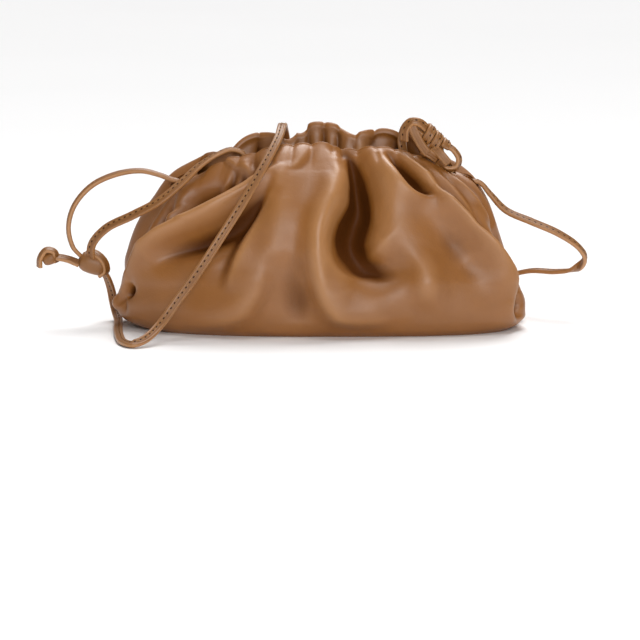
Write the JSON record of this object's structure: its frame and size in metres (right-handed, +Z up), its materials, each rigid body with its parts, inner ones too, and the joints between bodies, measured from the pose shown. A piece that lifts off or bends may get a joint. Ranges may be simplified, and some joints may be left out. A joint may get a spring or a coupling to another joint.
{
  "type": "gathered pouch bag",
  "caption": "Slouchy gathered leather pouch bag with a thin flat shoulder strap knotted through slots at the ends of its mouth.",
  "frame": {"origin": "middle of the flat base, on the surface that the bag stands on", "axes": "+X to the viewer's right along the mouth, +Y from the front panel towards the back panel, +Z up"},
  "size_m": [0.3061, 0.1448, 0.1164],
  "materials": {
    "pouch_leather": "smooth semi-gloss tan",
    "strap_leather": "satin pale tan, stitched"
  },
  "bodies": {
    "root": {"front_panel": "pouch_leather", "back_panel": "pouch_leather", "shoulder_strap": "strap_leather", "left_loop": "strap_leather", "left_knot": "strap_leather", "tail_knot": "strap_leather", "right_knot": "strap_leather"}
  },
  "joints": []
}
